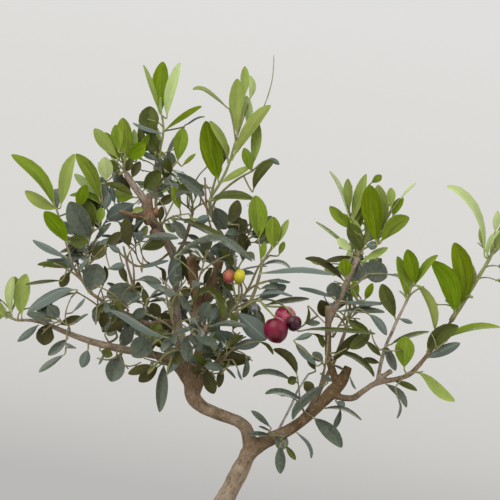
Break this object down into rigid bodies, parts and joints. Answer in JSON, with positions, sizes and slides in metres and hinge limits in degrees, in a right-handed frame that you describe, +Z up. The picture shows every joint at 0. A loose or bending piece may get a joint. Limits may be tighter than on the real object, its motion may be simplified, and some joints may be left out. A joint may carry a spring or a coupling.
{
  "type": "olive bonsai in a pot",
  "caption": "Small olive tree trained as a bonsai: a leaning forked trunk, open crown of oval leaves and olives, in a plain stoneware tray of soil.",
  "frame": {"origin": "middle of the flat underside of the pot", "axes": "+Z up, +X to the right as the picture shows the plant, +Y away from the viewer; the pot is long along X"},
  "size_m": [0.3628, 0.1694, 0.417],
  "materials": {
    "bark": "dull grey-brown bark with a fine grain",
    "foliage": "satin leaves, yellow-green when young and blue-green when grown",
    "stoneware": "matt unglazed brown stoneware",
    "soil": "dark crumbly soil"
  },
  "bodies": {
    "root": {"pot": "stoneware", "soil": "soil", "trunk": "bark", "left_bough": "bark", "right_bough": "bark", "lower_left_bough": "bark", "upper_left_bough": "bark", "centre_bough": "bark", "cut_stump": "bark", "front_bough": "bark", "back_bough": "bark", "lesser_left_bough": "bark", "crown_back_bough": "bark", "right_upright_bough": "bark", "knuckle_bough": "bark", "lower_right_bough": "bark", "right_twig_bough": "bark", "right_back_bough": "bark", "right_front_bough": "bark", "grey_cut_twig": "bark", "front_cut_twig": "bark", "dead_twig": "bark", "top_cut_twig": "bark", "far_left_spray": "foliage", "left_spray": "foliage", "crown_left_spray": "foliage", "crown_top_spray": "foliage", "crown_right_spray": "foliage", "middle_right_spray": "foliage", "inner_left_spray": "foliage", "middle_left_spray": "foliage", "middle_front_spray": "foliage", "left_low_spray": "foliage", "lower_left_spray": "foliage", "under_left_spray": "foliage", "hanging_spray": "foliage", "lower_centre_spray": "foliage", "olive_spray": "foliage", "front_spray": "foliage", "back_spray": "foliage", "back_low_spray": "foliage", "back_left_spray": "foliage", "crown_back_spray": "foliage", "low_right_spray": "foliage", "right_inner_spray": "foliage", "right_front_spray": "foliage", "right_back_spray": "foliage", "upright_spray": "foliage", "knuckle_low_spray": "foliage", "knuckle_spray": "foliage", "right_top_spray": "foliage", "right_mid_spray": "foliage", "right_under_spray": "foliage", "right_end_spray": "foliage", "right_tip_spray": "foliage"}
  },
  "joints": []
}
